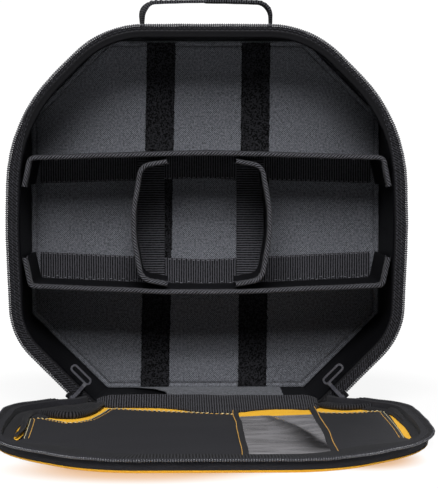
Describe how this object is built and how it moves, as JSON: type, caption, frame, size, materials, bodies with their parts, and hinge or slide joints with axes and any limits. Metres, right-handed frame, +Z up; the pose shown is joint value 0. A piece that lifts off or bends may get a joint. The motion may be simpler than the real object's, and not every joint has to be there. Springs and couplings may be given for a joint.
{
  "type": "saw blade storage case",
  "caption": "Soft-sided case for circular saw blades, standing open on its hinge edge: octagonal shell with lift-out shelves and dividers, zipped lid with flat pockets, carry handle.",
  "frame": {"origin": "on the ground under the middle of the shell's flat bottom wall", "axes": "+Z up; +Y from the open mouth to the back of the shell, so the open lid lies towards -Y; +X to the right seen from the front"},
  "size_m": [0.3396, 0.4083, 0.3474],
  "materials": {
    "outer_cloth": "black woven polyester over foam",
    "yellow_cloth": "yellow woven polyester, coated",
    "yellow_lining": "yellow lining cloth",
    "black_lining": "smooth black lining over foam",
    "grey_lining": "dark grey textured lining",
    "board": "hard plastic sheet",
    "piping": "black piping",
    "webbing": "ribbed black webbing",
    "binding": "twilled black binding tape",
    "loop_pile": "black looped pile",
    "hook_tape": "black hook tape",
    "zip_tape": "woven zip tape",
    "zip_coil": "black nylon coil",
    "zip_metal": "black enamel",
    "pull_cord": "black moulded pull",
    "clear_vinyl": "clear flexible vinyl"
  },
  "bodies": {
    "shell": {"back_cover": "outer_cloth", "back_board": "board", "back_lining": "grey_lining", "back_piping": "piping", "wall_gusset": "outer_cloth", "wall_lining": "black_lining", "loop_strip_left": "loop_pile", "loop_strip_right": "loop_pile", "shell_zip_tape": "zip_tape", "shell_zip_coil": "zip_coil", "shell_zip_stops": "zip_coil", "handle_anchor_left": "webbing", "handle_anchor_right": "webbing", "hinge_binding": "webbing"},
    "handle": {"handle_webbing": "webbing"},
    "left_slider": {"slider_left": "zip_metal"},
    "right_slider": {"slider_right": "zip_metal"},
    "left_pull": {"pull_left": "pull_cord"},
    "right_pull": {"pull_right": "pull_cord"},
    "upper_shelf": {"upper_shelf": "black_lining", "upper_shelf_binding": "binding", "upper_shelf_tab": "webbing", "upper_shelf_hooks": "hook_tape"},
    "lower_shelf": {"lower_shelf": "black_lining", "lower_shelf_binding": "binding", "lower_shelf_tab": "webbing", "lower_shelf_hooks": "hook_tape"},
    "left_divider": {"left_divider": "black_lining", "left_divider_binding": "binding", "left_divider_tab": "webbing", "left_divider_hooks": "hook_tape"},
    "right_divider": {"right_divider": "black_lining", "right_divider_binding": "binding", "right_divider_tab": "webbing", "right_divider_hooks": "hook_tape"},
    "lid": {"lid_face": "yellow_cloth", "lid_gusset": "outer_cloth", "lid_lining": "yellow_lining", "lid_seam_binding": "binding", "lid_zip_tape": "zip_tape", "lid_zip_coil": "zip_coil", "lid_zip_stops": "zip_coil", "lid_pocket_left": "black_lining", "lid_pocket_right": "black_lining", "lid_window": "clear_vinyl"}
  },
  "joints": [
    {"name": "lid_hinge", "type": "hinge", "parent": "shell", "child": "lid", "pos_m": [0, -0.0453, 0.013], "axis": [-1, 0, 0], "range_deg": [0, 90], "deforming": ["hinge_binding"]},
    {"name": "handle_swing", "type": "hinge", "parent": "shell", "child": "handle", "pos_m": [0, 0, 0.3256], "axis": [1, 0, 0], "range_deg": [-60, 60], "stiffness_Nm_per_rad": 0.02},
    {"name": "upper_shelf_pull", "type": "slide", "parent": "shell", "child": "upper_shelf", "axis": [0, 1, 0], "range_m": [-0.1, 0]},
    {"name": "lower_shelf_pull", "type": "slide", "parent": "shell", "child": "lower_shelf", "axis": [0, 1, 0], "range_m": [-0.1, 0]},
    {"name": "left_divider_pull", "type": "slide", "parent": "upper_shelf", "child": "left_divider", "axis": [0, 1, 0], "range_m": [-0.1, 0]},
    {"name": "right_divider_pull", "type": "slide", "parent": "upper_shelf", "child": "right_divider", "axis": [0, 1, 0], "range_m": [-0.1, 0]},
    {"name": "left_slider_travel", "type": "slide", "parent": "shell", "child": "left_slider", "axis": [-0.7071, 0, 0.7071], "range_m": [0, 0.042]},
    {"name": "right_slider_travel", "type": "slide", "parent": "shell", "child": "right_slider", "axis": [0.7071, 0, 0.7071], "range_m": [0, 0.042]},
    {"name": "left_pull_flip", "type": "hinge", "parent": "left_slider", "child": "left_pull", "pos_m": [-0.114, -0.0532, 0.011], "axis": [0.7071, 0, -0.7071], "range_deg": [0, 120]},
    {"name": "right_pull_flip", "type": "hinge", "parent": "right_slider", "child": "right_pull", "pos_m": [0.114, -0.0532, 0.011], "axis": [0.7071, 0, 0.7071], "range_deg": [0, 120]}
  ],
  "couplings": [
    {"joint": "lower_shelf_pull", "follows": "upper_shelf_pull", "ratio": 1}
  ]
}
